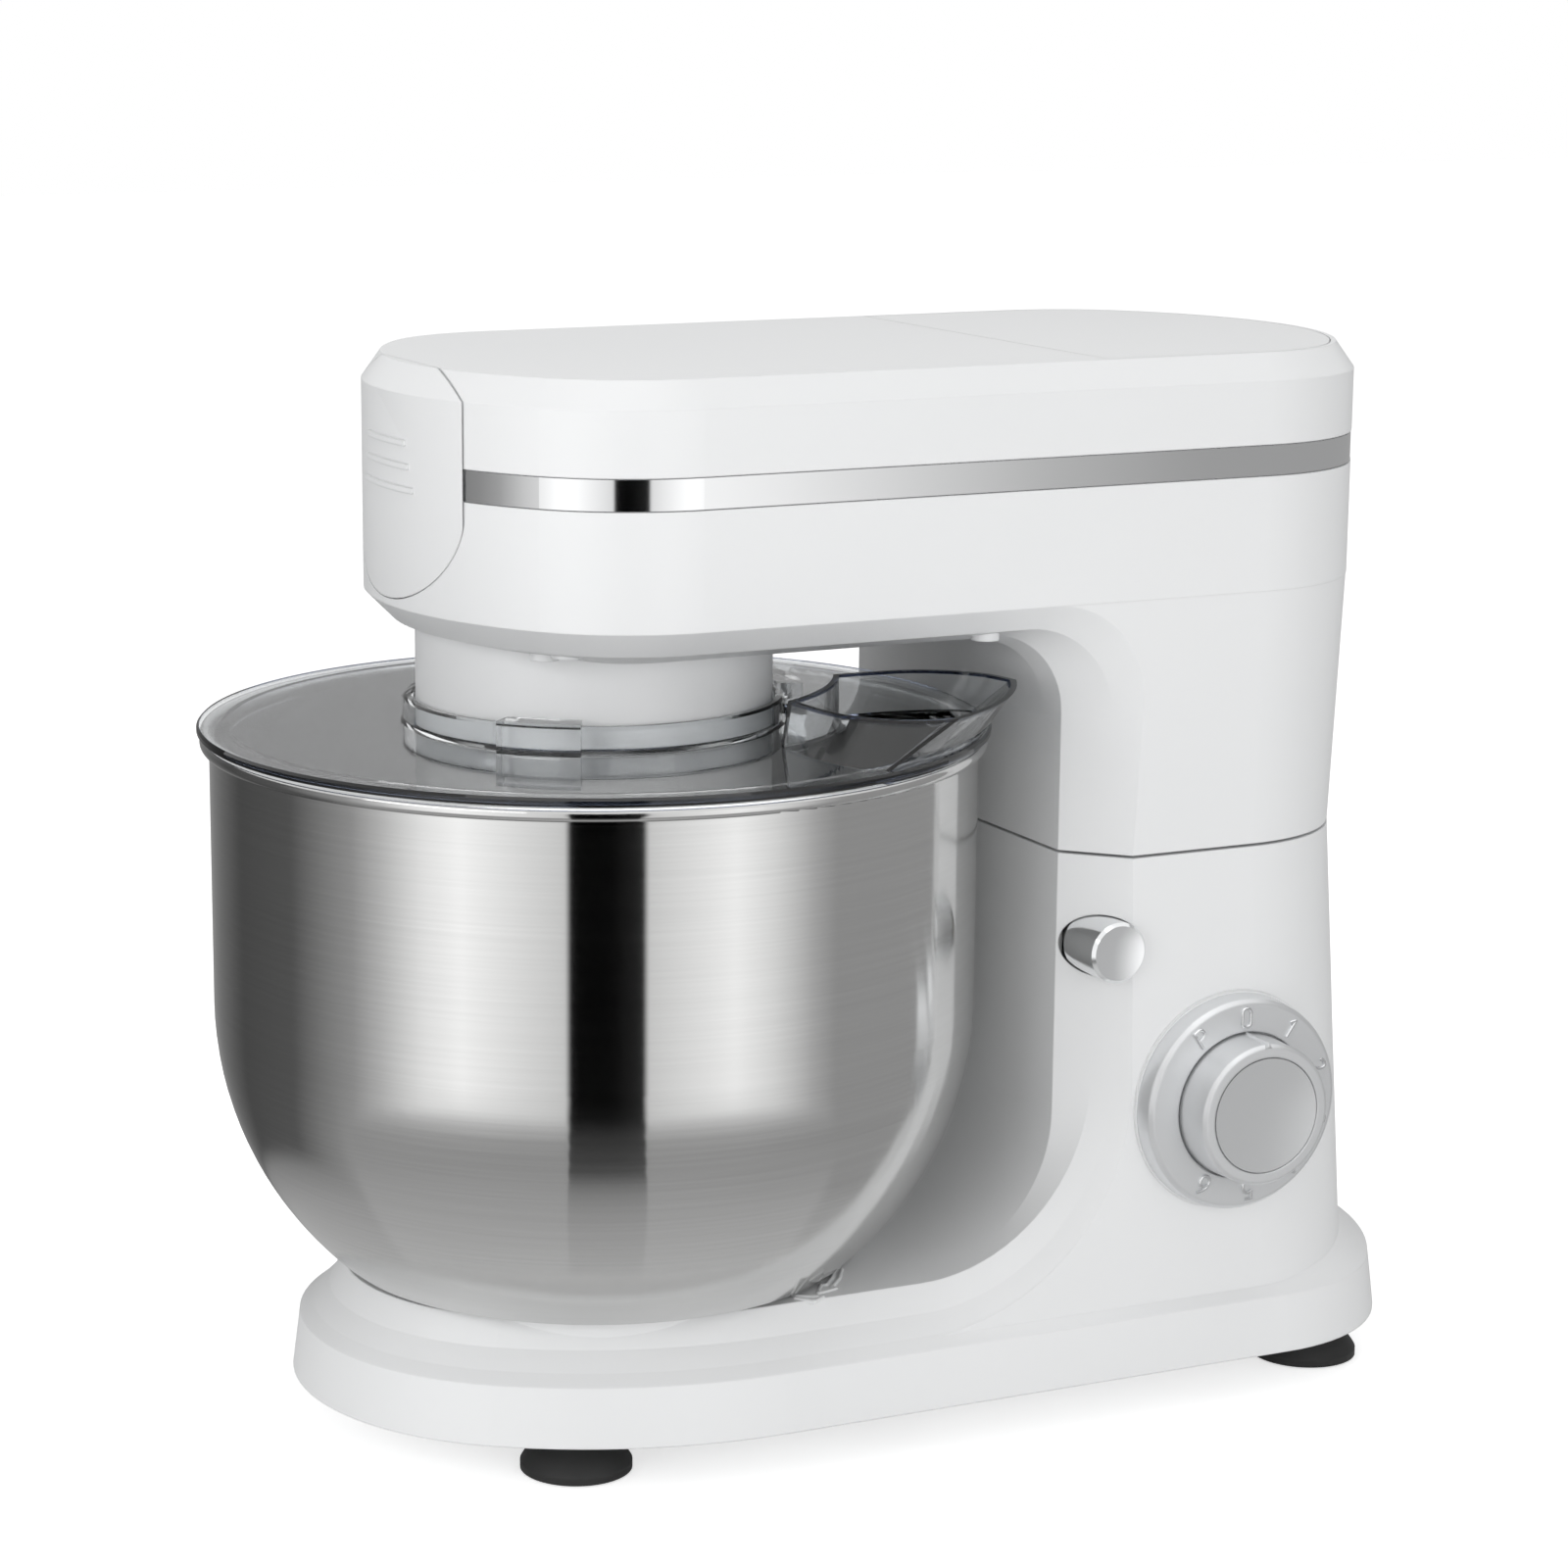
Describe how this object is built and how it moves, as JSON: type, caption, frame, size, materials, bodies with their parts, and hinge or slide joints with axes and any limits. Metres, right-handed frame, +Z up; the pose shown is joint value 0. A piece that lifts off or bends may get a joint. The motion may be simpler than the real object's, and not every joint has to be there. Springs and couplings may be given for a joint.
{
  "type": "stand mixer",
  "caption": "Kitchen stand mixer with a tilting head, steel bowl in a twist lock, clear splash guard with a filling chute, planetary dough hook, speed dial and release button.",
  "frame": {"origin": "centre of the bounding box at table level", "axes": "+Z up, -X towards the nose and the bowl, +X towards the column, -Y towards the side with the dial and the release button"},
  "size_m": [0.368, 0.228, 0.31],
  "materials": {
    "white_plastic": "satin moulded",
    "bright_strip": "polished",
    "bowl_steel": "turned, brushed round",
    "clear_plastic": "clear polished plastic",
    "silver_plastic": "satin silver",
    "black_rubber": "matt",
    "carrier_steel": "satin",
    "shaft_steel": "ground",
    "frame_steel": "zinc coated",
    "hook_aluminium": "cast, tumbled",
    "gear_nylon": "moulded",
    "gear_steel": "cut",
    "stator_iron": "laminated",
    "copper": "wound",
    "bush_bronze": "sintered",
    "switch_black": "moulded",
    "board_green": "coated"
  },
  "bodies": {
    "base": {"base_housing": "white_plastic", "base_plate": "white_plastic", "base_screws": "shaft_steel", "suction_cup_front_left": "black_rubber", "suction_cup_front_right": "black_rubber", "suction_cup_rear_left": "black_rubber", "suction_cup_rear_right": "black_rubber", "foot_stems": "white_plastic", "cord_gland": "black_rubber", "bowl_lock": "frame_steel", "hinge_post": "frame_steel", "hinge_pin": "shaft_steel", "latch_bracket": "frame_steel", "button_spring": "shaft_steel", "dial_bezel": "silver_plastic", "speed_switch": "switch_black", "control_board": "board_green"},
    "head": {"head_housing": "white_plastic", "head_top_cover": "white_plastic", "chrome_strip": "bright_strip", "screw_plugs": "white_plastic", "neck_housing": "white_plastic", "ring_gear": "gear_nylon", "gear_plate": "frame_steel", "gear_plate_screws": "shaft_steel", "carrier_bearings": "shaft_steel", "lay_bearing": "shaft_steel", "hinge_plate": "frame_steel", "motor_stator": "stator_iron", "motor_frame": "frame_steel", "motor_bridge": "frame_steel", "motor_bushes": "bush_bronze", "drive_belt": "black_rubber"},
    "bowl": {"bowl": "bowl_steel"},
    "button": {"release_button": "silver_plastic", "latch_bar": "gear_nylon"},
    "knob": {"speed_knob": "silver_plastic", "knob_insert": "silver_plastic", "knob_spindle": "shaft_steel"},
    "cap": {"front_cap": "white_plastic"},
    "outlet": {"outlet_cover": "white_plastic"},
    "guard": {"splash_guard": "clear_plastic"},
    "carrier": {"planet_carrier": "carrier_steel", "carrier_shaft": "shaft_steel", "drive_gear": "gear_nylon", "tool_bush": "bush_bronze"},
    "tool": {"tool_shaft": "shaft_steel", "planet_gear": "gear_nylon", "tool_pin": "shaft_steel", "dough_hook": "hook_aluminium"},
    "layshaft": {"lay_shaft": "shaft_steel", "lay_pinion": "gear_steel", "large_pulley": "gear_nylon"},
    "motor": {"motor_armature": "copper", "motor_fan": "gear_nylon", "motor_pulley": "gear_steel"}
  },
  "joints": [
    {"name": "head_tilt", "type": "hinge", "parent": "base", "child": "head", "pos_m": [0.15, 0, 0.19], "axis": [0, 1, 0], "range_deg": [0, 36]},
    {"name": "bowl_twist", "type": "hinge", "parent": "base", "child": "bowl", "pos_m": [-0.07, 0, 0.05], "axis": [0, 0, 1], "range_deg": [0, 40]},
    {"name": "button_press", "type": "slide", "parent": "base", "child": "button", "axis": [0, 1, 0], "range_m": [0, 0.004], "stiffness_N_per_m": 600, "springref_m": -0.001},
    {"name": "knob_turn", "type": "hinge", "parent": "base", "child": "knob", "pos_m": [0.0982, -0.09, 0.0926], "axis": [0, 1, 0], "range_deg": [-35, 210]},
    {"name": "guard_twist", "type": "hinge", "parent": "head", "child": "guard", "pos_m": [-0.07, 0, 0.21], "axis": [0, 0, 1], "range_deg": [-20, 0]},
    {"name": "front_cap_pull", "type": "slide", "parent": "head", "child": "cap", "axis": [-1, 0, 0], "range_m": [0, 0.025]},
    {"name": "outlet_cover_lift", "type": "slide", "parent": "head", "child": "outlet", "axis": [0, 0, 1], "range_m": [0, 0.03]},
    {"name": "carrier_spin", "type": "hinge", "parent": "head", "child": "carrier", "pos_m": [-0.07, 0, 0.21], "axis": [0, 0, 1], "continuous": true},
    {"name": "tool_spin", "type": "hinge", "parent": "carrier", "child": "tool", "pos_m": [-0.1, 0, 0.2], "axis": [0, 0, 1], "continuous": true},
    {"name": "lay_spin", "type": "hinge", "parent": "head", "child": "layshaft", "pos_m": [-0.02312, 0, 0.26], "axis": [0, 0, 1], "continuous": true},
    {"name": "motor_spin", "type": "hinge", "parent": "head", "child": "motor", "pos_m": [0.086, 0, 0.21], "axis": [0, 0, 1], "continuous": true}
  ],
  "couplings": [
    {"joint": "tool_spin", "follows": "carrier_spin", "ratio": -4},
    {"joint": "lay_spin", "follows": "carrier_spin", "ratio": -4},
    {"joint": "motor_spin", "follows": "carrier_spin", "ratio": -16}
  ]
}
